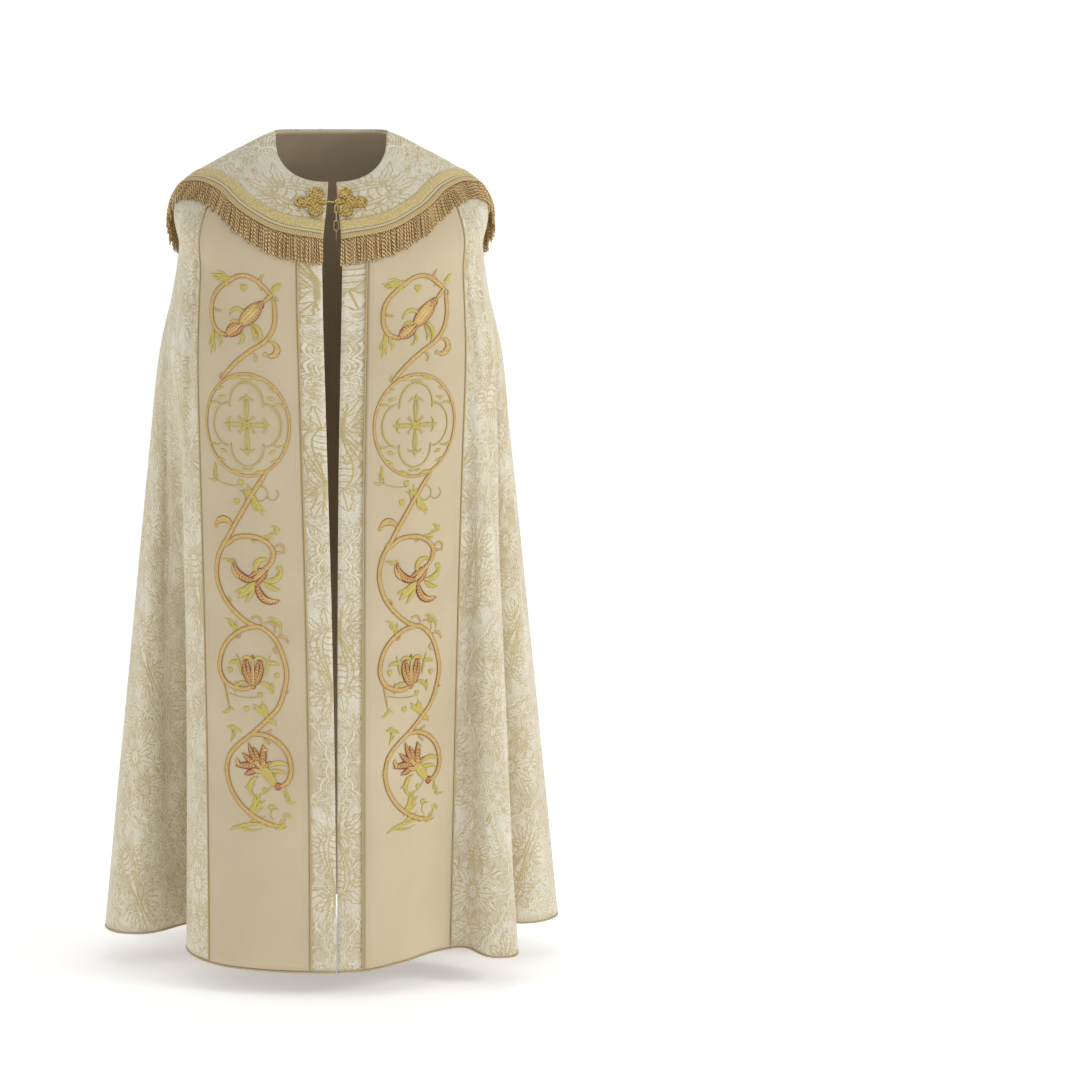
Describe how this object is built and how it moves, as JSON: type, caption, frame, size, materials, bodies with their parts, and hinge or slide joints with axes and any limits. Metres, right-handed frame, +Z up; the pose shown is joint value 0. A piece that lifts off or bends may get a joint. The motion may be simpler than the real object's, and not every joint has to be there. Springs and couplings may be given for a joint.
{
  "type": "cope vestment",
  "caption": "Half-round brocade cope worn open at the front, with a fringed hood-collar, two plain orphrey bands, an applique cross on the back and a gilt hook clasp.",
  "frame": {"origin": "middle of the neck opening, level with the sides of the neck, where the wearer's shoulders carry the cope", "axes": "+Z up, the opening and clasp towards -Y, the back with its cross towards +Y, the wearer's left towards +X"},
  "size_m": [0.7956, 0.6164, 1.4098],
  "materials": {
    "brocade": "ivory jacquard with thin gold outlines and a soft sheen",
    "orphrey_cloth": "plain cream cloth with gold embroidery",
    "galloon": "woven olive gold galloon with a metallic glint",
    "edging": "narrow cream edging",
    "fringe": "twisted gold bullion fringe",
    "cord": "thin gold cord",
    "piping": "tan piping",
    "velvet": "dark maroon velvet",
    "satin": "gold satin stitch",
    "gilt": "gilt metal"
  },
  "bodies": {
    "garment": {"cope_body": "brocade", "hood": "brocade", "hood_galloon": "galloon", "hood_edging": "edging", "hood_fringe": "fringe", "orphrey_left": "orphrey_cloth", "orphrey_right": "orphrey_cloth", "orphrey_cord_left_inner": "cord", "orphrey_cord_left_outer": "cord", "orphrey_cord_right_inner": "cord", "orphrey_cord_right_outer": "cord", "hem_piping": "piping", "cross_velvet": "velvet", "cross_border": "satin", "cross_rosette": "satin", "clasp_left": "gilt", "clasp_right": "gilt", "clasp_hook": "gilt", "clasp_eye": "gilt"},
    "chain": {"chain_link_1": "gilt", "chain_link_2": "gilt", "chain_link_3": "gilt"}
  },
  "joints": [
    {"name": "chain_swing", "type": "hinge", "parent": "garment", "child": "chain", "pos_m": [0.0088, -0.1428, -0.1512], "axis": [-1, 0, 0], "range_deg": [-10, 85]}
  ]
}
